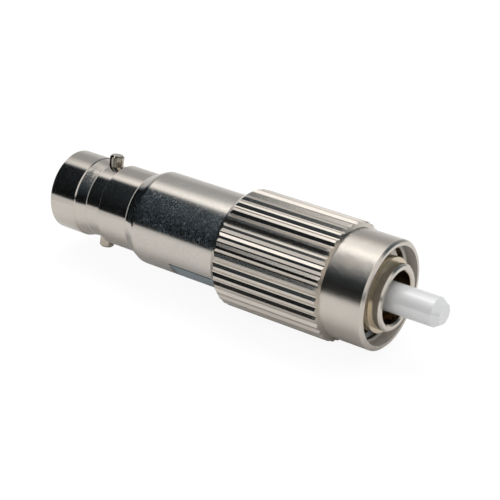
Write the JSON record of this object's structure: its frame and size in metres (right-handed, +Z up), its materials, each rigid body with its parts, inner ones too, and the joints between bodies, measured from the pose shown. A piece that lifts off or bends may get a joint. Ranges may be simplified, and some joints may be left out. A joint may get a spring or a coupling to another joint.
{
  "type": "fibre tester adapter",
  "caption": "Male-to-female optical fibre adapter: bayonet port with two studs at one end, ridged threaded coupling nut and bare ceramic ferrule at the other.",
  "frame": {"origin": "centre of the mouth of the bayonet port, on the optical axis", "axes": "+X along the optical axis from the bayonet port toward the ferrule; +Z up; the upper bayonet stud leans 14 degrees from +Z toward +Y"},
  "size_m": [0.0372, 0.01, 0.01],
  "materials": {
    "nickel_body": "nickel-plated turned brass, fine satin turning marks",
    "nickel_nut": "nickel-plated brass, bright ridges and a satin front collar",
    "nickel_plug": "nickel-plated brass, warm tint",
    "nickel_stud": "polished nickel plate",
    "inner_metal": "plain turned brass with thin plate",
    "steel_tube": "turned stainless steel",
    "spring_steel": "drawn spring wire",
    "zirconia": "polished white ceramic",
    "fibre_glass": "cleaved and polished glass"
  },
  "bodies": {
    "port_body": {"st_housing": "nickel_body", "bayonet_stud_1": "nickel_stud", "bayonet_stud_2": "nickel_stud", "sleeve_holder": "inner_metal", "holder_cap": "inner_metal", "alignment_sleeve": "zirconia", "spring_seat": "inner_metal", "float_spring": "spring_steel", "plug_body": "nickel_plug", "key_ring": "nickel_plug"},
    "ferrule_stub": {"rear_ferrule": "zirconia", "front_ferrule": "zirconia", "ferrule_tube": "steel_tube", "fibre_stub": "fibre_glass"},
    "slip_ring": {"slip_washer": "steel_tube"},
    "nut": {"coupling_nut": "nickel_nut"}
  },
  "joints": [
    {"name": "ferrule_float", "type": "slide", "parent": "port_body", "child": "ferrule_stub", "axis": [1, 0, 0], "range_m": [-0.001, 0], "stiffness_N_per_m": 60, "springref_m": 0.0005, "deforming": ["float_spring"]},
    {"name": "nut_slide", "type": "slide", "parent": "port_body", "child": "slip_ring", "axis": [1, 0, 0], "range_m": [-0.0018, 0.0004]},
    {"name": "nut_spin", "type": "hinge", "parent": "slip_ring", "child": "nut", "pos_m": [0.01815, 0, 0], "axis": [1, 0, 0], "continuous": true}
  ]
}
